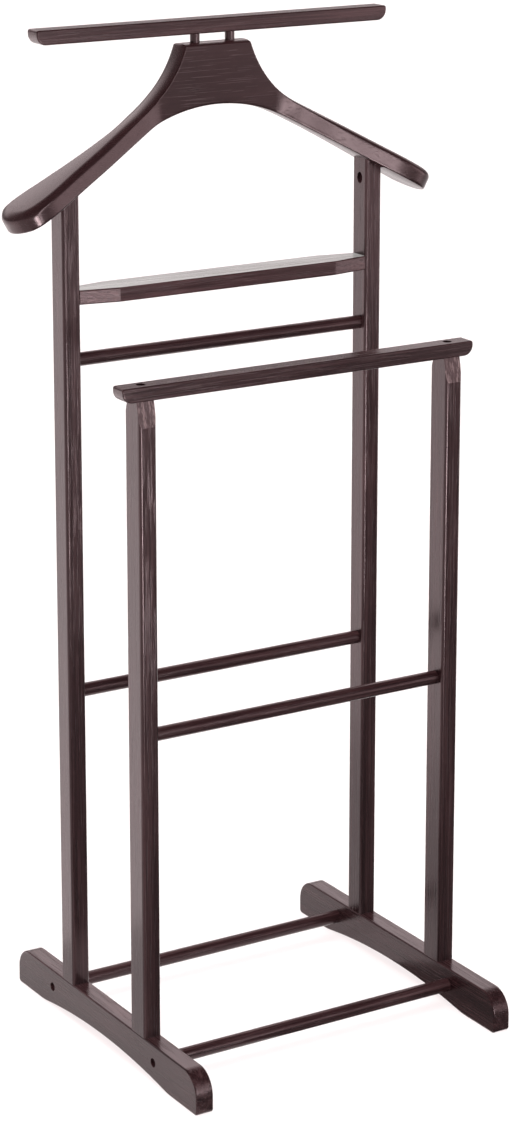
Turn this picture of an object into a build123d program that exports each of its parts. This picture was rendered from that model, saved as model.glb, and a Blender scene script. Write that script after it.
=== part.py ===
"""Free-standing wooden valet stand: jacket hanger, shelf bar, rods and a trouser bar on two foot rails.

Millimetres. +Z is up, +X is the wearer's left-to-right width, and the front of the stand faces -Y.
The origin is on the floor, midway between the foot rails and midway along them.
"""
from build123d import *
import os
from math import cos, radians, sin, tan

# ---------------------------------------------------------------- driving dimensions

# Stock
stock = 18.5                # thickness of rails and posts, across the stand
rod_d = 13.5                # all five rods
eased = 1.5                 # softened corner of planed wood
screw_bore_d = 9.0          # counterbore that hides a screw head
bored_in = 8.0              # how far a rod or dowel enters its blind hole
rod_tenon = 6.0             # how far a lower rod enters its rail

# Foot rails
frame_width = 360.0         # outer face to outer face of the rails
rail_length = 360.0
rail_height = 39.6
rail_end_radius = 23.0      # big round on the upper corner of each end
rail_toe_radius = 4.0
arch_span = 250.0
arch_rise = 10.0
arch_ease = 80.0            # blends the arch into the two flats that stand on the floor

# Posts
rear_post_front = 61.0      # Y of the rear posts' front faces
rear_post_depth = 23.4
front_post_front = -82.5
front_post_depth = 26.4
post_front_round = 3.0      # vertical corners that face the user
post_back_round = 1.5
front_taper_height = 24.0   # the front posts' tops are narrowed by flat facets, front and back
front_taper_depth = 5.0
back_taper_height = 14.0
back_taper_depth = 4.5

# Rods
lower_rod_z = 21.5
lower_rod_rear_y = 106.0
lower_rod_front_y = -98.0
mid_rod_rear_z = 342.6
mid_rod_front_z = 340.0
upper_rod_z = 675.0

# Shelf bar between the rear posts
tray_top = 744.2
tray_thickness = 14.2
tray_depth = 36.0
tray_end_depth = 21.0
tray_taper_x = 122.0        # where the ends start to narrow

# Trouser bar and top bar
bar_length = 390.0
bar_depth = 19.8
bar_height = 14.4
bar_end_radius = 10.0       # lower corners of the ends
bar_tip_radius = 2.5        # upper corners of the ends
trouser_bar_bottom = 666.4
top_bar_bottom = 976.6
top_bar_y = 87.5

# Hanger
arm_angle = 29.05           # slope of the arms below horizontal
arm_seat_z = 841.8          # underside of the arm at the posts' inner faces
arm_thickness = 18.7
arm_length = 260.0          # middle of the stand to the tip, along the arm's underside
hanger_top = 967.7
block_half_width = 37.3
block_shoulder = (40.0, 960.5)      # where the block's side starts to sweep out
block_shoulder_angle = 69.3
block_front_y = 75.0
block_back_y = 100.0
block_corner = 3.0
arch_radius = 165.0

# The arm's outline square to its underside: (distance down the arm from the middle, Y)
arm_front = [(68.0, block_front_y), (103.0, 68.5), (144.0, 58.5), (185.0, 50.0), (215.0, 43.0), (237.0, 41.0)]
arm_tip = [(251.0, 47.5), (arm_length, 71.0), (251.0, 91.5)]
arm_back = [(68.0, block_back_y), (119.0, 90.0), (160.0, 88.5), (206.0, 92.0), (237.0, 95.5)]

# Screws and dowels
top_dowel_d = 9.5
top_dowel_spacing = 39.0
screw_head_d = 7.6
screw_head_t = 2.4
screw_shank_d = 4.0
cross_recess_span = 4.4     # the driver recess in a screw's head
cross_recess_width = 0.9
cross_recess_depth = 1.4
tray_pin_d = 6.0
tray_pin_length = 24.0
tray_pin_spacing = 11.0

# ---------------------------------------------------------------- worked out from them

outer_x = frame_width / 2
inner_x = outer_x - stock
mid_post_x = (outer_x + inner_x) / 2
rear_post_back = rear_post_front + rear_post_depth
rear_post_y = (rear_post_front + rear_post_back) / 2
front_post_back = front_post_front + front_post_depth
front_post_y = (front_post_front + front_post_back) / 2
trouser_bar_top = trouser_bar_bottom + bar_height
arm_slope = tan(radians(arm_angle))
arm_lift = arm_thickness / cos(radians(arm_angle))      # the arm's thickness, measured vertically


def arm_under(x):
    """Height of the arm's straight underside at a distance x from the middle."""
    return arm_seat_z - arm_slope * (x - inner_x)


def arm_over(x):
    """Height of the arm's straight upper side at a distance x from the middle."""
    return arm_under(x) + arm_lift


# ---------------------------------------------------------------- helpers

def cylinder_between(start, end, diameter):
    """A plain round bar from one point to another."""
    axis = Vector(*end) - Vector(*start)
    plane = Plane(origin=start, z_dir=axis.normalized())
    return extrude(plane * Circle(diameter / 2), amount=axis.length)


def box_between(low, high):
    """An axis-aligned box from its low corner to its high corner."""
    size = [b - a for a, b in zip(low, high)]
    middle = [(a + b) / 2 for a, b in zip(low, high)]
    return Pos(*middle) * Box(*size)


def screw(head_at, direction, length):
    """A pan-head screw: flat of the head at head_at, driven along direction, with a cross recess."""
    plane = Plane(origin=head_at, z_dir=direction)
    head = extrude(plane * Circle(screw_head_d / 2), amount=screw_head_t)
    shank = extrude(plane * Circle(screw_shank_d / 2), amount=length)
    slot = plane * Rectangle(cross_recess_span, cross_recess_width)
    cross = slot + plane * Rectangle(cross_recess_width, cross_recess_span)
    return head + shank - extrude(cross, amount=cross_recess_depth)


def screw_seat(mouth_at, head_at, direction, length):
    """What is cut away for such a screw: its counterbore, then a hole that its shank fills."""
    direction = Vector(*direction).normalized()
    head_end = Vector(*head_at) + direction * screw_head_t
    shank_end = Vector(*head_at) + direction * length
    bore = cylinder_between(mouth_at, tuple(head_end), screw_bore_d)
    return bore + cylinder_between(head_at, tuple(shank_end), screw_shank_d)


def mirrored(part):
    """The same piece on the other side of the stand."""
    return mirror(part, Plane.YZ)


# ---------------------------------------------------------------- where the screws go

rod_screw_length = 32.0
rod_screw_depth = 5.0       # head below the rail's outer face
post_screw_length = 45.0
post_screw_head_z = 14.0
bar_screw_length = 38.0
bar_screw_depth = 6.5
pocket_screw_length = 20.0
pocket_mouth_z = 822.0      # the pocket's axis at the post's inner face
pocket_rise = 38.0          # slope of the pocket above horizontal
pocket_depth = 7.5


def rod_screws():
    """Seats and screws that hold the two lower rods to the right-hand rail."""
    for y in (lower_rod_rear_y, lower_rod_front_y):
        mouth = (outer_x, y, lower_rod_z)
        head = (outer_x - rod_screw_depth, y, lower_rod_z)
        yield mouth, head, (-1, 0, 0), rod_screw_length


def post_screws():
    """Seats and screws that hold the two posts to the right-hand rail from below."""
    for y in (rear_post_y, front_post_y):
        yield (mid_post_x, y, 0), (mid_post_x, y, post_screw_head_z), (0, 0, 1), post_screw_length


def trouser_bar_screws():
    """Seat and screw that hold the trouser bar to the right-hand front post."""
    head = (mid_post_x, front_post_y, trouser_bar_top - bar_screw_depth)
    yield (mid_post_x, front_post_y, trouser_bar_top), head, (0, 0, -1), bar_screw_length


def pocket_screws():
    """Seat and screw in the right-hand rear post's pocket, which slants up and out into the hanger."""
    rise = radians(pocket_rise)
    direction = Vector(cos(rise), 0, sin(rise))
    axis_at_face = Vector(inner_x, rear_post_y, pocket_mouth_z)
    mouth = axis_at_face - direction * screw_bore_d
    head = axis_at_face + direction * pocket_depth
    yield tuple(mouth), tuple(head), tuple(direction), pocket_screw_length


def seats(sites):
    """Everything to cut away for a group of screws, as one list of tools."""
    return [screw_seat(*site) for site in sites()]


def screws(sites):
    """Both sides' screws of one kind, as one group of solids."""
    right = [screw(head, direction, length) for _, head, direction, length in sites()]
    return right + [mirrored(part) for part in right]


# ---------------------------------------------------------------- frame pieces

def rail_side_view():
    """A foot rail's outline in YZ: flat top, round-shouldered ends, and a shallow arch underneath."""
    half = rail_length / 2
    foot = arch_span / 2
    corners = [(foot, 0), (half, 0), (half, rail_height), (-half, rail_height), (-half, 0), (-foot, 0)]
    outline = Polyline(*corners) + ThreePointArc(corners[-1], (0, arch_rise), corners[0])
    face = make_face(outline)
    face = fillet(face.vertices().filter_by(lambda v: v.Y > 1), rail_end_radius)
    face = fillet(face.vertices().filter_by(lambda v: abs(v.X) > half - 1 and v.Y < 1), rail_toe_radius)
    return fillet(face.vertices().filter_by(lambda v: abs(abs(v.X) - foot) < 1), arch_ease)


def right_rail():
    """The foot rail under the two right-hand posts."""
    rail = Pos(inner_x, 0, 0) * extrude(Plane.YZ * rail_side_view(), amount=stock)
    rail = fillet(rail.faces().filter_by(Axis.X).edges(), eased)
    for y in (lower_rod_rear_y, lower_rod_front_y):
        rail -= cylinder_between((inner_x, y, lower_rod_z), (inner_x + rod_tenon, y, lower_rod_z), rod_d)
    return rail - seats(rod_screws) - seats(post_screws)


def post_blank(front, depth, bottom, top):
    """A right-hand post: square stock with softened vertical corners."""
    blank = box_between((inner_x, front, bottom), (outer_x, front + depth, top))
    upright = blank.edges().filter_by(Axis.Z)
    blank = fillet(upright.filter_by(lambda e: e.center().Y < front + 1), post_front_round)
    upright = blank.edges().filter_by(Axis.Z)
    return fillet(upright.filter_by(lambda e: e.center().Y > front + depth - 0.1), post_back_round)


def right_rear_post():
    """Tall post with a mitred top for the hanger, and blind holes for its rods and shelf bar."""
    tallest = arm_under(inner_x)
    post = post_blank(rear_post_front, rear_post_depth, rail_height, tallest)
    mitre = Plane(origin=(inner_x, 0, tallest), z_dir=(sin(radians(arm_angle)), 0, cos(radians(arm_angle))))
    post = split(post, bisect_by=mitre, keep=Keep.BOTTOM)
    for z in (mid_rod_rear_z, upper_rod_z):
        post -= cylinder_between((inner_x, rear_post_y, z), (inner_x + bored_in, rear_post_y, z), rod_d)
    return post - seats(post_screws) - seats(pocket_screws) - right_tray_pins()


def right_front_post():
    """Short post whose top is narrowed, front and back, to tuck under the trouser bar."""
    post = post_blank(front_post_front, front_post_depth, rail_height, trouser_bar_bottom)
    top = trouser_bar_bottom
    for face, inward, height in (
        (front_post_front, front_taper_depth, front_taper_height),
        (front_post_back, -back_taper_depth, back_taper_height),
    ):
        wedge = Polyline((face, top - height), (face, top), (face + inward, top), close=True)
        post -= Pos(inner_x, 0, 0) * extrude(make_face(Plane.YZ * wedge), amount=stock, dir=(1, 0, 0))
    z = mid_rod_front_z
    post -= cylinder_between((inner_x, front_post_y, z), (inner_x + bored_in, front_post_y, z), rod_d)
    return post - seats(post_screws) - seats(trouser_bar_screws)


def cross_rod(y, z, into_each_side):
    """A round rod across the stand, let into a blind hole at each end."""
    reach = inner_x + into_each_side
    return cylinder_between((-reach, y, z), (reach, y, z), rod_d)


def lower_rod(y):
    """A lower rod, drilled up each end for the screw that comes through its rail."""
    rod = cross_rod(y, lower_rod_z, rod_tenon)
    right_seats = seats(rod_screws)
    return rod - right_seats - [mirrored(seat) for seat in right_seats]


# ---------------------------------------------------------------- shelf bar and clothes bars

def tray():
    """Flat shelf bar between the rear posts, its ends narrowed to the posts by long chamfers."""
    wide = tray_depth / 2
    narrow = tray_end_depth / 2
    quarter = [(tray_taper_x, wide), (inner_x, narrow)]
    right = [(x, -y) for x, y in quarter] + [(x, y) for x, y in reversed(quarter)]
    left = [(-x, -y) for x, y in reversed(right)]
    plan = make_face(Polyline(*right, *[(x, -y) for x, y in left], close=True))
    board = Pos(0, rear_post_y, tray_top - tray_thickness) * extrude(plan, amount=tray_thickness)
    long_edges = board.faces().filter_by(Axis.Z).edges().filter_by(lambda e: abs(e.center().X) < inner_x - 1)
    board = fillet(long_edges, eased)
    pins = right_tray_pins()
    return board - pins - [mirrored(pin) for pin in pins]


def right_tray_pins():
    """Two wooden pins, one behind the other, that hold the shelf bar to a rear post."""
    z = tray_top - tray_thickness / 2
    reach = tray_pin_length / 2
    return [
        cylinder_between((inner_x - reach, y, z), (inner_x + reach, y, z), tray_pin_d)
        for y in (rear_post_y - tray_pin_spacing / 2, rear_post_y + tray_pin_spacing / 2)
    ]


def clothes_bar(y, bottom):
    """A flat bar with boat-shaped ends: large rounds below, small rounds above."""
    half = bar_length / 2
    face = Plane.XZ * Rectangle(bar_length, bar_height)
    face = fillet(face.vertices().filter_by(lambda v: v.Z < 0), bar_end_radius)
    face = fillet(face.vertices().filter_by(lambda v: v.Z > 0 and abs(v.X) > half - 1), bar_tip_radius)
    bar = extrude(face, amount=bar_depth / 2, both=True)
    bar = fillet(bar.faces().filter_by(Axis.Y).edges(), eased)
    return Pos(0, y, bottom + bar_height / 2) * bar


def trouser_bar():
    """The lower clothes bar, screwed down onto the front posts."""
    right_seats = seats(trouser_bar_screws)
    bar = clothes_bar(front_post_y, trouser_bar_bottom)
    return bar - right_seats - [mirrored(seat) for seat in right_seats]


def top_bar():
    """The upper clothes bar, which stands on two dowels above the hanger."""
    return clothes_bar(top_bar_y, top_bar_bottom) - top_dowels()


def top_dowels():
    """The two dowels between the hanger's block and the top bar."""
    low = hanger_top - 2 * bored_in
    high = top_bar_bottom + bored_in
    return [
        cylinder_between((x, top_bar_y, low), (x, top_bar_y, high), top_dowel_d)
        for x in (-top_dowel_spacing / 2, top_dowel_spacing / 2)
    ]


# ---------------------------------------------------------------- hanger

def arm_underside():
    """The sloping plane of the right arm's underside; its X runs down along the arm, its Y to the rear."""
    lean = radians(arm_angle)
    down_arm = (cos(lean), 0, -sin(lean))
    return Plane(origin=(0, 0, arm_under(0)), x_dir=down_arm, z_dir=(sin(lean), 0, cos(lean)))


def hanger_front_view():
    """Right half of the hanger in XZ: flat-topped block, swept shoulder and straight arm over an arch."""
    lean = radians(arm_angle)
    shoulder = radians(block_shoulder_angle)
    reach = 1.2 * arm_length    # past the tip, which the plan outline cuts

    # Underside: an arch that runs into the straight arm.
    arch_end = arch_radius * sin(lean)
    apex = arm_under(arch_end) + arch_radius * (1 - cos(lean))
    arch_middle = (arch_radius * sin(lean / 2), apex - arch_radius * (1 - cos(lean / 2)))

    # Shoulder: one arc from the block's side to the straight upper side of the arm.
    x0, z0 = block_shoulder
    sweep = (z0 - arm_over(x0)) / (1 / cos(lean) - arm_slope * sin(shoulder) - cos(shoulder))
    centre = Vector(x0 + sweep * sin(shoulder), z0 + sweep * cos(shoulder))
    middle = (lean + shoulder) / 2
    sweep_middle = (centre.X - sweep * sin(middle), centre.Y - sweep * cos(middle))
    sweep_end = (centre.X - sweep * sin(lean), centre.Y - sweep * cos(lean))

    half = (
        Line((0, apex), (0, hanger_top))
        + Line((0, hanger_top), (block_half_width, hanger_top))
        + Line((block_half_width, hanger_top), block_shoulder)
        + ThreePointArc(block_shoulder, sweep_middle, sweep_end)
        + Line(sweep_end, (reach, arm_over(reach)))
        + Line((reach, arm_over(reach)), (reach, arm_under(reach)))
        + Line((reach, arm_under(reach)), (arch_end, arm_under(arch_end)))
        + ThreePointArc((arch_end, arm_under(arch_end)), arch_middle, (0, apex))
    )
    face = make_face(half)
    corner = face.vertices().filter_by(lambda v: v.Y > hanger_top - 0.1 and v.X > 1)
    return fillet(corner, block_corner)


def arm_plan():
    """Right half of the hanger seen square to the arm: slim at the block, bending forward to a round tip."""
    inboard = -arm_length / 2       # past the middle, where the front view cuts it
    shoulder_front, shoulder_back = (arm_front[0][0], block_front_y), (arm_back[0][0], block_back_y)
    outline = (
        Line((inboard, block_front_y), shoulder_front)
        + Spline(*arm_front, tangents=[(1, 0), (1, 0)])
        + Spline(arm_front[-1], *arm_tip, arm_back[-1], tangents=[(1, 0), (-1, 0)])
        + Spline(*reversed(arm_back), tangents=[(-1, 0), (-1, 0)])
        + Line(shoulder_back, (inboard, block_back_y))
        + Line((inboard, block_back_y), (inboard, block_front_y))
    )
    return make_face(outline)


def hanger():
    """The contoured jacket hanger, cut from one thick board."""
    past_back = 2 * block_back_y
    profile = extrude(Plane.XZ * hanger_front_view(), amount=-past_back)
    plan = extrude(arm_underside() * arm_plan(), amount=arm_length / 2, both=True)
    right = profile & plan
    body = right + mirrored(right)
    right_seats = seats(pocket_screws)
    return body - right_seats - [mirrored(seat) for seat in right_seats] - top_dowels()


# ---------------------------------------------------------------- the stand, one node per piece

def pair(name, part):
    """A right-hand piece and its left-hand twin, under their own names."""
    return {f"left_{name}": mirrored(part), f"right_{name}": part}


def build():
    """Every node of the stand by name."""
    pins = right_tray_pins()
    return {
        **pair("foot_rail", right_rail()),
        **pair("rear_post", right_rear_post()),
        **pair("front_post", right_front_post()),
        "lower_rear_rod": lower_rod(lower_rod_rear_y),
        "lower_front_rod": lower_rod(lower_rod_front_y),
        "mid_rear_rod": cross_rod(rear_post_y, mid_rod_rear_z, bored_in),
        "mid_front_rod": cross_rod(front_post_y, mid_rod_front_z, bored_in),
        "upper_rod": cross_rod(rear_post_y, upper_rod_z, bored_in),
        "tray": tray(),
        "tray_pins": Compound(pins + [mirrored(pin) for pin in pins]),
        "trouser_bar": trouser_bar(),
        "hanger": hanger(),
        "top_bar": top_bar(),
        "top_bar_dowels": Compound(top_dowels()),
        "rod_screws": Compound(screws(rod_screws)),
        "post_screws": Compound(screws(post_screws)),
        "trouser_bar_screws": Compound(screws(trouser_bar_screws)),
        "hanger_screws": Compound(screws(pocket_screws)),
    }


os.makedirs("parts", exist_ok=True)
for node, part in build().items():
    export_step(part, f"parts/{node}.step")
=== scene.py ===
from math import cos, pi, radians, sin

import bmesh
import bpy
from mathutils import Euler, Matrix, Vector
from mathutils.geometry import interpolate_bezier


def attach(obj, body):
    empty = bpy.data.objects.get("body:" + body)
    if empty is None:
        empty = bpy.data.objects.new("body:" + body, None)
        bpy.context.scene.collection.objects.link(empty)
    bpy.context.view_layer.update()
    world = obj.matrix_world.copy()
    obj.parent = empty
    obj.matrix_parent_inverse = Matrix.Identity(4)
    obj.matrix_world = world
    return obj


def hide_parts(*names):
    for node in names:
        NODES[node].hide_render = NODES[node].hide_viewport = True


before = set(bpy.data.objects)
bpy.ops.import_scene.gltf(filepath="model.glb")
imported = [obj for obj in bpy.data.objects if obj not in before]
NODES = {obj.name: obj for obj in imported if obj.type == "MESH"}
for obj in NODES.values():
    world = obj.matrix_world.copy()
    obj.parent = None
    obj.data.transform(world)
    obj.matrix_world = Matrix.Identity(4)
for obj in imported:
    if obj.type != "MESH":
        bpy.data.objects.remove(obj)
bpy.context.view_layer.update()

MM = 0.001

# ---------------------------------------------------------------- camera

PICTURE_HEIGHT = 1122       # pixels on the picture's long side, which the sensor is fitted to
SENSOR = 36.0               # millimetres, on the same side
FOCAL_PIXELS = 3163.6
CAMERA_AT = (-1.554, -2.525, 1.3577)
CAMERA_AZIMUTH = 31.558     # degrees from +Y towards +X
CAMERA_DOWN = 13.459        # degrees below the horizon
CAMERA_SHIFT = 0.16         # share of the picture's long side


def make_camera():
    """The picture's viewpoint: a long lens above the hanger, shifted so that the posts look upright."""
    data = bpy.data.cameras.new("camera")
    data.sensor_width = SENSOR
    data.lens = SENSOR * FOCAL_PIXELS / PICTURE_HEIGHT
    data.shift_y = -CAMERA_SHIFT
    camera = bpy.data.objects.new("camera", data)
    camera.location = CAMERA_AT
    camera.rotation_euler = Euler((radians(90 - CAMERA_DOWN), 0, radians(-CAMERA_AZIMUTH)))
    bpy.context.scene.collection.objects.link(camera)
    bpy.context.scene.camera = camera


# ---------------------------------------------------------------- studio

WHITE = 1.0, 1.0, 1.0
ROSY = 1.0, 0.87, 0.88

# Where each panel is, the point it faces, its size in metres, its radiance and its colour.
PANELS = {
    "front_panel": ((0.66, -2.6, 0.85), (0.0, 0.0, 0.85), (0.38, 1.7), 12.5, WHITE),
    "tip_panel": ((-0.02, -1.43, 0.16), (-0.235, 0.05, 0.71), (0.4, 0.32), 32.0, WHITE),
    "right_panel": ((2.36, -1.95, 0.75), (0.0, 0.0, 0.75), (1.5, 1.5), 2.4, ROSY),
    "facet_panel": ((4.17, -6.83, 1.5), (0.0, 0.0, 0.65), (1.6, 0.9), 1.8, ROSY),
    "left_floor_panel": ((-2.2, 2.9, 0.02), (-2.2, 2.9, 1.0), (4.0, 5.4), 1.0, ROSY),
}

SUN_STRENGTH = 4.3
SUN_SPREAD = radians(70)    # wide, so that it gives the even light of a large softbox

FLOOR_PAPER = 0.88, 0.82, 0.82, 1
PAPER_SPECULAR = 0.1
FLOOR_REACH = 60            # metres each way
FELT = 0.17, 0.15, 0.15, 1
FELT_TURN = radians(CAMERA_AZIMUTH)     # to where the stand's front faces mirror the camera's view
FELT_LOW = -0.9, -9.0       # the strip's corners, before it is turned
FELT_HIGH = 0.9, -0.07
FELT_Z = 0.002              # just above the paper


def soft_panel(name, at, aim, size, radiance, colour):
    """A rectangular light of a given radiance, turned towards a point, that only shows in reflections."""
    data = bpy.data.lights.new(name, "AREA")
    data.shape = "RECTANGLE"
    data.size, data.size_y = size
    data.energy = radiance * pi * size[0] * size[1]
    data.color = colour
    light = bpy.data.objects.new(name, data)
    light.location = at
    light.rotation_euler = (Vector(aim) - Vector(at)).to_track_quat("-Z", "Y").to_euler()
    light.visible_camera = False
    light.visible_diffuse = False
    bpy.context.scene.collection.objects.link(light)


def overhead_light():
    """An even light from above, which whitens the floor."""
    data = bpy.data.lights.new("overhead", "SUN")
    data.energy = SUN_STRENGTH
    data.angle = SUN_SPREAD
    data.use_shadow = False
    light = bpy.data.objects.new("overhead", data)
    light.visible_glossy = False
    bpy.context.scene.collection.objects.link(light)


def floor_sheet(name, low, high, z, turn=0.0):
    """A level rectangle between two corners, turned about the origin."""
    mesh = bpy.data.meshes.new(name)
    corners = [(low[0], low[1], z), (high[0], low[1], z), (high[0], high[1], z), (low[0], high[1], z)]
    mesh.from_pydata(corners, [], [(0, 1, 2, 3)])
    plane = bpy.data.objects.new(name, mesh)
    plane.rotation_euler.z = turn
    bpy.context.scene.collection.objects.link(plane)
    return plane


# ---------------------------------------------------------------- shader helpers

def node(tree, kind, inputs=None, **settings):
    """A shader node with its settings and with its inputs set or linked, by socket name or number."""
    made = tree.nodes.new("ShaderNode" + kind)
    for key, value in settings.items():
        setattr(made, key, value)
    for key, value in (inputs or {}).items():
        if isinstance(value, bpy.types.NodeSocket):
            tree.links.new(value, made.inputs[key])
        else:
            made.inputs[key].default_value = value
    return made


def maths(tree, operation, *values):
    """The result of a Math node on sockets or numbers."""
    return node(tree, "Math", dict(enumerate(values)), operation=operation).outputs[0]


def ramp(tree, value, *stops):
    """A colour ramp's output; each stop is (position, (r, g, b)) or (position, grey)."""
    made = node(tree, "ValToRGB", {0: value})
    elements = made.color_ramp.elements
    while len(elements) < len(stops):
        elements.new(0.5)
    for element, (position, colour) in zip(elements, stops):
        element.position = position
        element.color = (*colour, 1) if isinstance(colour, tuple) else (colour, colour, colour, 1)
    return made.outputs[0]


def mix_colour(tree, factor, first, second):
    """A blend of two colours, each a socket or an (r, g, b, a)."""
    return node(tree, "Mix", {0: factor, 6: first, 7: second}, data_type="RGBA").outputs[2]


def new_material(name):
    """An empty material, its node tree and its shader."""
    material = bpy.data.materials.new(name)
    material.use_nodes = True
    tree = material.node_tree
    return material, tree, tree.nodes["Principled BSDF"]


def smoothstep(tree, value, low, high):
    """0 below low, 1 above high, and a soft rise between."""
    inputs = {"Value": value, "From Min": low, "From Max": high}
    return node(tree, "MapRange", inputs, interpolation_type="SMOOTHSTEP").outputs[0]


def direction_mask(tree, direction, axis, low, high):
    """How nearly a world direction points along an axis, as a soft mask."""
    dot = node(tree, "VectorMath", {0: direction, 1: axis}, operation="DOT_PRODUCT").outputs["Value"]
    return smoothstep(tree, dot, low, high)


BEHIND = 0.5, 0.866, 0.0    # away from the camera, along the floor
UP = 0.0, 0.0, 1.0
SKY = 1.0, 0.89, 0.9, 1

# Strengths of the studio's light.
BACK_GLOW = 1.75            # in reflections, behind the stand and some way above the horizon
LOW_GLOW = 0.35             # added all round, up to the dark ceiling
CEILING_GLOW = 0.05         # added everywhere
FILL = 0.12                 # on matt surfaces
BACKDROP = 1.3              # in the camera's own view


def reflected_strength(tree):
    """How bright the studio looks in reflections, by direction."""
    direction = node(tree, "TexCoord").outputs["Generated"]
    behind = direction_mask(tree, direction, BEHIND, 0.25, 0.92)
    risen = direction_mask(tree, direction, UP, 0.16, 0.4)
    low = maths(tree, "SUBTRACT", 1.0, direction_mask(tree, direction, UP, 0.45, 0.85))
    glow = maths(tree, "MULTIPLY", maths(tree, "MULTIPLY", behind, risen), BACK_GLOW)
    walls = maths(tree, "MULTIPLY", maths(tree, "ADD", glow, LOW_GLOW), low)
    return maths(tree, "ADD", walls, CEILING_GLOW)


def make_world():
    """A studio with a white backdrop; in reflections it glows behind the stand and is dark overhead."""
    world = bpy.data.worlds.new("studio")
    bpy.context.scene.world = world
    world.use_nodes = True
    tree = world.node_tree
    ray = node(tree, "LightPath").outputs
    plain = node(tree, "Mix", {0: ray["Is Camera Ray"], 2: FILL, 3: BACKDROP}).outputs[0]
    inputs = {0: ray["Is Glossy Ray"], 2: plain, 3: reflected_strength(tree)}
    background = tree.nodes["Background"]
    tree.links.new(node(tree, "Mix", inputs).outputs[0], background.inputs["Strength"])
    background.inputs["Color"].default_value = SKY


def make_floor():
    """Pale paper that reaches to the horizon."""
    floor = floor_sheet("floor", (-FLOOR_REACH, -FLOOR_REACH), (FLOOR_REACH, FLOOR_REACH), 0)
    material, tree, shader = new_material("floor_paper")
    fibres = node(tree, "TexNoise", {"Scale": 60.0, "Detail": 4.0}).outputs[0]
    shader.inputs["Base Color"].default_value = FLOOR_PAPER
    shader.inputs["Specular IOR Level"].default_value = PAPER_SPECULAR
    tree.links.new(ramp(tree, fibres, (0.0, 0.75), (1.0, 0.95)), shader.inputs["Roughness"])
    floor.data.materials.append(material)


def make_felt():
    """A dark strip on the floor, to the right in front of the stand, which only reflections show."""
    felt = floor_sheet("dark_felt", FELT_LOW, FELT_HIGH, FELT_Z, FELT_TURN)
    material, _, shader = new_material("felt")
    shader.inputs["Base Color"].default_value = FELT
    shader.inputs["Roughness"].default_value = 1.0
    felt.data.materials.append(material)
    felt.visible_camera = False
    felt.visible_diffuse = False
    felt.visible_shadow = False


def make_studio():
    """Floor, world and lights."""
    make_floor()
    make_felt()
    make_world()
    overhead_light()
    for name, panel in PANELS.items():
        soft_panel(name, *panel)


# ---------------------------------------------------------------- hanger

# The hanger is laid out in millimetres. "Along" runs from the middle down one arm, and "across" is the
# stand's Y.
ARM_ANGLE = radians(29.05)  # slope of the arms below horizontal
ARM_THICKNESS = 18.7
ARM_START = 91.7            # where the block's arch runs into the arm's straight underside
ARM_END = 237.0             # where the outline starts to turn round the tip
TIP = 262.5                 # the arm's far end
BLOCK_END = 68.0            # where the sides start to leave the block's flat front and back
BLOCK_TOP = 967.7           # heights above the floor
ARCH_TOP = 907.8
ARCH_RADIUS = 165.0

# Length of each run of the block's upper outline, and how far it turns downwards.
SHOULDER_TURN = radians(69.44)
UPPER_RUNS = [(35.22, 0.0), (3.636, SHOULDER_TURN), (5.641, 0.0), (76.936, ARM_ANGLE - SHOULDER_TURN)]

# The outline seen square to the arm, as (along, across).
FRONT_SIDE = [
    (BLOCK_END, 75.0), (103.0, 68.5), (144.0, 58.5), (185.0, 50.0), (215.0, 43.0), (ARM_END, 41.0),
]
BACK_SIDE = [(BLOCK_END, 100.0), (119.0, 90.0), (160.0, 88.5), (206.0, 92.0), (ARM_END, 95.5)]
FRONT_OF_TIP = [(ARM_END, 41.0), (253.0, 47.0), (TIP, 70.0)]
BACK_OF_TIP = [(ARM_END, 95.5), (253.0, 91.5), (TIP, 70.0)]

# Edge profiles, as (distance in from the outline, depth below the upper side or height above the lower
# one).
BLOCK_EDGE = [
    (11.0, 0.0), (8.5, 0.1), (6.0, 0.41), (4.0, 0.81), (2.4, 1.22),
    (0.8, 1.72), (0.25, 1.98), (0.0, 2.5), (0.0, 2.9),
]
ARM_EDGE = [
    (8.0, 0.0), (6.1, 0.15), (4.2, 0.6), (2.6, 1.3), (1.4, 2.15),
    (0.6, 3.1), (0.15, 4.1), (0.0, 5.0), (0.0, 6.5),
]
TIP_EDGE = [
    (11.5, 0.0), (8.8, 0.2), (6.1, 0.85), (3.8, 1.8), (2.0, 3.0),
    (0.9, 4.4), (0.2, 5.8), (0.0, 7.1), (0.0, 8.6),
]
LOWER_EDGE = [(0.0, 3.4), (0.0, 2.0), (0.15, 1.0), (0.6, 0.3), (1.5, 0.0)]
SOFTENS = (80.0, 150.0)     # where the block's crisp edge turns into the arm's soft one
TIP_SOFTENS = (215.0, TIP)

# Where the outline's points are, as runs of (from, to, count). They are closest together round the block's
# top corner.
CORNER_START = 0.285 * ARM_START
CORNER_END = 0.335 * ARM_START
STATION_RUNS = [
    (0, CORNER_START, 6),
    (CORNER_START, CORNER_END, 10),
    (CORNER_END, ARM_START, 24),
    (ARM_START, ARM_END, 36),
]


def smooth_line(points, start, end, steps=10):
    """Points on a smooth curve through the given ones, which leaves along start and arrives along end."""
    points = [Vector(p) for p in points]
    slopes = [(after - before).normalized() for before, after in zip(points, points[2:])]
    slopes = [Vector(start), *slopes, Vector(end)]
    found = [points[0]]
    for p, q, leaving, arriving in zip(points, points[1:], slopes, slopes[1:]):
        pull = (q - p).length / 3
        curve = interpolate_bezier(p, p + leaving * pull, q - arriving * pull, q, steps + 1)
        found += [Vector(c[:2]) for c in curve[1:]]
    return found


def across_at(line, along):
    """Where a line of (along, across) points is across, at a distance along."""
    for before, after in zip(line, line[1:]):
        if along <= after.x:
            share = max((along - before.x) / (after.x - before.x), 0.0)
            return before.y + (after.y - before.y) * share
    return line[-1].y


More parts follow.
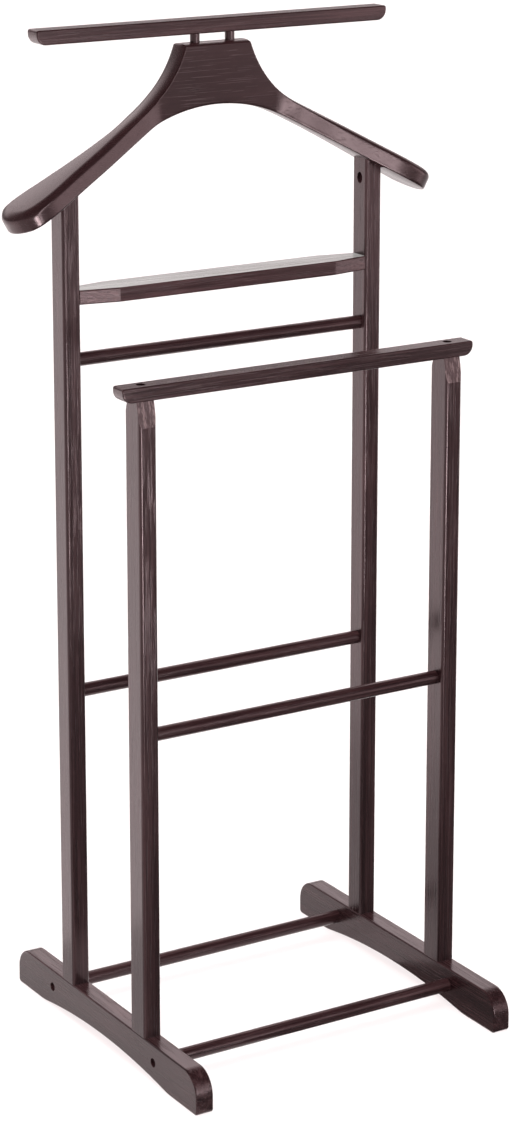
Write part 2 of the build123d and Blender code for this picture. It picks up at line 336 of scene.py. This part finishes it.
def eased(span, value):
    """0 before a span, 1 after it, and a smooth rise between."""
    low, high = span
    share = min(max((value - low) / (high - low), 0.0), 1.0)
    return share * share * (3 - 2 * share)


def block_upper_side(share):
    """Point and outward normal in XZ on the block's top and shoulder, at a share of the way to the arm."""
    left = share * sum(length for length, _ in UPPER_RUNS)
    point, slope = Vector((0.0, BLOCK_TOP)), 0.0
    for length, turn in UPPER_RUNS:
        run = min(left, length)
        half_turn = turn * run / length / 2
        chord = run * sin(half_turn) / half_turn if half_turn else run
        point += chord * Vector((cos(slope + half_turn), -sin(slope + half_turn)))
        slope += 2 * half_turn
        left -= run
    return point, Vector((sin(slope), cos(slope)))


def lower_side(along):
    """Point and inward normal in XZ on the hanger's underside."""
    turn = ARM_ANGLE * min(along / ARM_START, 1.0)
    straight = max(along - ARM_START, 0.0)
    point = Vector((ARCH_RADIUS * sin(turn), ARCH_TOP - ARCH_RADIUS * (1 - cos(turn))))
    return point + straight * Vector((cos(ARM_ANGLE), -sin(ARM_ANGLE))), Vector((sin(turn), cos(turn)))


def upper_side(along):
    """Point and outward normal in XZ on the hanger's upper side."""
    if along < ARM_START:
        return block_upper_side(along / ARM_START)
    point, normal = lower_side(along)
    return point + ARM_THICKNESS * normal, normal


def even_steps(low, high, count):
    """Evenly spaced numbers from low up to, and without, high."""
    return [low + (high - low) * i / count for i in range(count)]


def hanger_outline():
    """The right half's outline: block front, round the tip, block back, with the same stations on both."""
    stations = [along for run in STATION_RUNS for along in even_steps(*run)]
    sides = []
    for side, tip, arriving in ((FRONT_SIDE, FRONT_OF_TIP, 1), (BACK_SIDE, BACK_OF_TIP, -1)):
        line = smooth_line(side, (1, 0), (1, 0))
        along_arm = [Vector((along, across_at(line, along))) for along in stations]
        sides.append(along_arm + smooth_line(tip, (1, 0), (0, arriving)))
    front, back = sides
    return front + back[-2::-1]


def upper_edge(step, along):
    """The upper edge's profile at a step, which changes from the block to the arm and then to the tip."""
    at = Vector(BLOCK_EDGE[step]).lerp(Vector(ARM_EDGE[step]), eased(SOFTENS, along))
    return at.lerp(Vector(TIP_EDGE[step]), eased(TIP_SOFTENS, along))


def hanger_ring(outline, edge, side, inward):
    """The outline moved in by the edge's profile and set on one side of the hanger, in metres."""
    ring = []
    last = len(outline) - 1
    for i, at in enumerate(outline):
        tangent = (outline[min(i + 1, last)] - outline[max(i - 1, 0)]).normalized()
        inset, depth = edge(at.x)
        moved = at + inset * Vector((-tangent.y, tangent.x))
        point, normal = side(moved.x if 0 < i < last else 0.0)
        point = point + inward * depth * normal
        ring.append(Vector((point.x, moved.y, point.y)) * MM)
    return ring


def close_side(mesh, loop, half):
    """Fills one side of the hanger between its front and its back, from the middle out to each tip."""
    for way in (1, -1):
        for i in range(half // 2):
            front = loop[way * i], loop[way * (i + 1)]
            back = loop[(way * (half - 1 - i)) % len(loop)], loop[(way * (half - 2 - i)) % len(loop)]
            corners = [*front, *reversed(back)]
            mesh.faces.new(list(dict.fromkeys(corners)))


def hanger_mesh():
    """One closed skin: crowned above, crisp round the block, soft on the arms and full at the tips."""
    outline = hanger_outline()
    rings = [
        hanger_ring(outline, lambda along, step=step: upper_edge(step, along), upper_side, -1)
        for step in range(len(BLOCK_EDGE))
    ]
    rings += [hanger_ring(outline, lambda along, at=at: at, lower_side, 1) for at in LOWER_EDGE]
    mesh = bmesh.new()
    loops = []
    for ring in rings:
        right = [mesh.verts.new(p) for p in ring]
        left = [mesh.verts.new((-p.x, p.y, p.z)) for p in ring[-2:0:-1]]
        loops.append(right + left)
    for upper, lower in zip(loops, loops[1:]):
        for i in range(len(upper)):
            mesh.faces.new((upper[i - 1], lower[i - 1], lower[i], upper[i]))
    close_side(mesh, loops[0], len(outline))
    close_side(mesh, loops[-1], len(outline))
    bmesh.ops.recalc_face_normals(mesh, faces=mesh.faces)
    data = bpy.data.meshes.new("shaped_hanger")
    mesh.to_mesh(data)
    mesh.free()
    data.shade_smooth()
    return data


def make_hanger():
    """The finely shaped hanger, in place of the plain CAD one."""
    hanger = bpy.data.objects.new("shaped_hanger", hanger_mesh())
    bpy.context.scene.collection.objects.link(hanger)
    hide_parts("hanger")
    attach(hanger, "root")
    return hanger


# ---------------------------------------------------------------- wood and metal

SHIFT_PER_SEED = 3.7, 1.3, 0.7      # metres of texture between one piece's grain and the next one's
ALONG = 0.02                        # how much slower the grain changes along a piece than across it

# Noise in the wood; a scale of 1 is one period a metre.
STREAKS = {"Scale": 420.0, "Detail": 5.0, "Roughness": 0.65}
BANDS = {"Scale": 90.0, "Detail": 2.0, "Distortion": 0.8}
PORES = {"Scale": 1000.0, "Detail": 2.0}
BLOTCHES = {"Scale": 16.0, "Detail": 3.0}

DARK_STAIN = 0.010, 0.0034, 0.004
STAIN = 0.026, 0.0105, 0.0115
LIGHT_STAIN = 0.075, 0.038, 0.040
PORE_STAIN = 0.006, 0.002, 0.0025, 1
# pale colour of sharp edges and of the posts' facets: partly wear, partly a painted highlight and sheen
PALE_WEAR_AND_SHEEN = 0.30, 0.22, 0.22, 1
# painted sheen: the pale colour laid on the tray's level top
TOP_SHEEN_PAINT = 0.39, 0.39, 0.38, 1
LACQUER_TINT = 1.0, 0.75, 0.78, 1
LACQUER_IOR = 1.45

STREAK_SHARE = 0.6                  # of the grain; the rest is bands
PORE_DARKNESS = 0.6
# how pale the sharp edges are painted: partly sanded rub-through, partly a painted highlight
EDGE_WEAR_AND_HIGHLIGHT = 0.3
EDGE_PAINT_REACH = 0.0008            # metres
LACQUER_ROUGHNESS = 0.14            # at its glossiest
LIGHT_GRAIN_ROUGHNESS = 0.14        # added where the grain is light
PORE_ROUGHNESS = 0.1                # added over pores
RELIEF_STRENGTH = 0.7
RELIEF_DEPTH = 0.00015              # metres
PORE_DEPTH = 0.7                    # beside the streaks' height
BEECH_ROUGHNESS = 0.7

DARK_BEECH = 0.42, 0.25, 0.13
LIGHT_BEECH = 0.60, 0.41, 0.25
BEECH_STREAKS = {"Scale": 900.0, "Detail": 4.0}
DARK_ZINC = 0.16, 0.155, 0.15
LIGHT_ZINC = 0.30, 0.29, 0.28
BRUSHING = {"Scale": 1800.0, "Detail": 4.0}


def noise(tree, place, pattern):
    """A noise pattern's value at a place."""
    return node(tree, "TexNoise", {"Vector": place, **pattern}).outputs[0]


def sharp_edge_mask(tree, reach):
    """A mask of sharp edges: where the normal, rounded over a small reach, leaves the face's own."""
    rounded = node(tree, "Bevel", {"Radius": reach}, samples=6).outputs[0]
    own = node(tree, "NewGeometry").outputs["Normal"]
    agreement = node(tree, "VectorMath", {0: rounded, 1: own}, operation="DOT_PRODUCT").outputs["Value"]
    return maths(tree, "SUBTRACT", 1.0, smoothstep(tree, agreement, 0.8, 0.99))


def facing(tree, axis):
    """How far a face's normal points along an axis."""
    return node(tree, "SeparateXYZ", {0: node(tree, "NewGeometry").outputs["Normal"]}).outputs[axis]


def facet_scratches_and_sheen(tree, streaks):
    """Pale streaks on faces that lean back a few degrees, as the narrowed tops of the front posts do:
    partly scratches, partly a painted sheen of the light these facets reflect.
    """
    upward = facing(tree, "Z")
    leaning = smoothstep(tree, upward, 0.06, 0.12)
    upright = maths(tree, "SUBTRACT", 0.6, smoothstep(tree, upward, 0.4, 0.6))
    scratches = ramp(tree, streaks, (0.47, 0.06), (0.60, 1.0))
    return maths(tree, "MULTIPLY", maths(tree, "MULTIPLY", leaning, upright), scratches)


def painted_top_sheen(tree, streaks):
    """A pale upper face: a painted sheen on level faces, in place of the bright reflection on the tray's
    top.
    """
    level = smoothstep(tree, facing(tree, "Z"), 0.9, 0.99)
    return maths(tree, "MULTIPLY", level, ramp(tree, streaks, (0.35, 0.5), (0.6, 1.0)))


def wood_patterns(tree, grain_axis, seed):
    """The wood's streaks, bands and pores, drawn out along its grain, and its blotches."""
    place = node(tree, "TexCoord").outputs["Object"]
    scale = [ALONG if axis == grain_axis else 1.0 for axis in "XYZ"]
    offset = [seed * shift for shift in SHIFT_PER_SEED]
    across = node(tree, "Mapping", {"Vector": place, "Scale": scale, "Location": offset}).outputs[0]
    drawn_out = [noise(tree, across, pattern) for pattern in (STREAKS, BANDS, PORES)]
    return *drawn_out, noise(tree, place, BLOTCHES)


def stain_colour(tree, grain, blotches, tone):
    """The stain, from dark to light with the grain, deeper in some blotches than in others."""
    stain = ramp(tree, grain, (0.36, DARK_STAIN), (0.5, STAIN), (0.66, LIGHT_STAIN))
    toned = mix_colour(tree, 1.0, stain, ramp(tree, blotches, (0.3, 0.7 * tone), (0.7, tone)))
    toned.node.blend_type = "MULTIPLY"
    return toned


def lacquer(tree, shader, grain, fleck):
    """A satin finish, duller over light grain and over pores."""
    on_grain = maths(tree, "MULTIPLY", grain, LIGHT_GRAIN_ROUGHNESS)
    on_pores = maths(tree, "MULTIPLY", fleck, PORE_ROUGHNESS)
    roughness = maths(tree, "ADD", maths(tree, "ADD", on_grain, on_pores), LACQUER_ROUGHNESS)
    tree.links.new(roughness, shader.inputs["Roughness"])
    shader.inputs["IOR"].default_value = LACQUER_IOR
    shader.inputs["Specular Tint"].default_value = LACQUER_TINT


def stained_wood(name, grain_axis, seed, contrast=0.75, tone=1.0, painted_sheen_faces=None):
    """Dark brown stain under satin lacquer, with its grain along X, Y or Z, and with a pale colour painted
    on some faces as sheen.

    The last argument gives the mask function of those faces and their colour: a painted sheen, with
    scratches on the posts' facets.
    """
    material, tree, shader = new_material(name)
    streaks, bands, pores, blotches = wood_patterns(tree, grain_axis, seed)
    fleck = ramp(tree, pores, (0.55, 0.0), (0.66, 1.0))
    banded = maths(tree, "MULTIPLY", bands, 1 - STREAK_SHARE)
    full = maths(tree, "ADD", maths(tree, "MULTIPLY", streaks, STREAK_SHARE), banded)
    grain = maths(tree, "MULTIPLY_ADD", maths(tree, "SUBTRACT", full, 0.5), contrast, 0.5)

    colour = stain_colour(tree, grain, blotches, tone)
    colour = mix_colour(tree, maths(tree, "MULTIPLY", fleck, PORE_DARKNESS * contrast), colour, PORE_STAIN)
    # paler sharp edges: partly sanded rub-through, partly a painted highlight along the rounded edges
    edges = sharp_edge_mask(tree, EDGE_PAINT_REACH)
    edge_wear_and_highlight = maths(tree, "MULTIPLY", edges, maths(tree, "MULTIPLY", streaks, EDGE_WEAR_AND_HIGHLIGHT))
    colour = mix_colour(tree, edge_wear_and_highlight, colour, PALE_WEAR_AND_SHEEN)
    # painted sheen on the faces that the last argument picks out
    if painted_sheen_faces:
        mask, pale = painted_sheen_faces
        colour = mix_colour(tree, mask(tree, streaks), colour, pale)
    tree.links.new(colour, shader.inputs["Base Color"])
    lacquer(tree, shader, grain, fleck)

    relief = maths(tree, "SUBTRACT", streaks, maths(tree, "MULTIPLY", fleck, PORE_DEPTH))
    inputs = {"Height": relief, "Strength": RELIEF_STRENGTH * contrast, "Distance": RELIEF_DEPTH}
    tree.links.new(node(tree, "Bump", inputs).outputs[0], shader.inputs["Normal"])
    return material


def plain_beech(name):
    """Unfinished beech, for the pins inside the shelf bar's joints."""
    material, tree, shader = new_material(name)
    place = node(tree, "TexCoord").outputs["Object"]
    across = node(tree, "Mapping", {"Vector": place, "Scale": (ALONG, 1.0, 1.0)}).outputs[0]
    streaks = noise(tree, across, BEECH_STREAKS)
    colour = ramp(tree, streaks, (0.3, DARK_BEECH), (0.7, LIGHT_BEECH))
    tree.links.new(colour, shader.inputs["Base Color"])
    shader.inputs["Roughness"].default_value = BEECH_ROUGHNESS
    return material


def screw_steel(name):
    """Dark zinc-plated steel with fine brushing."""
    material, tree, shader = new_material(name)
    brushing = noise(tree, node(tree, "TexCoord").outputs["Object"], BRUSHING)
    colour = ramp(tree, brushing, (0.3, DARK_ZINC), (0.7, LIGHT_ZINC))
    tree.links.new(colour, shader.inputs["Base Color"])
    tree.links.new(ramp(tree, brushing, (0.3, 0.28), (0.7, 0.45)), shader.inputs["Roughness"])
    shader.inputs["Metallic"].default_value = 1.0
    return material


# ---------------------------------------------------------------- which piece is made of what

# Tables by the ending of a node's name.
GRAIN = {"rail": "Y", "post": "Z", "dowels": "Z"}      # the grain of the rest runs along X
# faces painted pale: a painted sheen on the tray's top; on the front posts' facets, scratches and a
# painted sheen
SHEEN_PAINTED_FACES = {"front_post": (facet_scratches_and_sheen, PALE_WEAR_AND_SHEEN), "tray": (painted_top_sheen, TOP_SHEEN_PAINT)}
TONES = {"tray": 1.8, "top_bar": 1.25, "rod": 1.1}     # these took the stain less deeply
HANGER_SEED = 20
HANGER_CONTRAST = 0.15      # its wood is plainer than the straight pieces'


def by_ending(table, name, default=None):
    """The table's value for the ending that a name has."""
    return next((value for ending, value in table.items() if name.endswith(ending)), default)


def dress(piece, material):
    """Gives a piece one material and no other."""
    piece.data.materials.clear()
    piece.data.materials.append(material)


def dress_cad_nodes():
    """Every CAD node gets its own cut of the wood, or zinc-plated steel, or plain beech."""
    for seed, (name, piece) in enumerate(sorted(NODES.items())):
        if name.endswith("screws"):
            dress(piece, screw_steel(f"{name}_zinc"))
        elif name == "tray_pins":
            dress(piece, plain_beech(f"{name}_beech"))
        else:
            axis = by_ending(GRAIN, name, "X")
            tone = by_ending(TONES, name, 1.0)
            painted_sheen_faces = by_ending(SHEEN_PAINTED_FACES, name)
            dress(piece, stained_wood(f"{name}_wood", axis, seed, tone=tone, painted_sheen_faces=painted_sheen_faces))


make_camera()
make_studio()
dress_cad_nodes()
dress(make_hanger(), stained_wood("hanger_wood", "X", HANGER_SEED, contrast=HANGER_CONTRAST))

bpy.context.scene.view_settings.view_transform = "Standard"
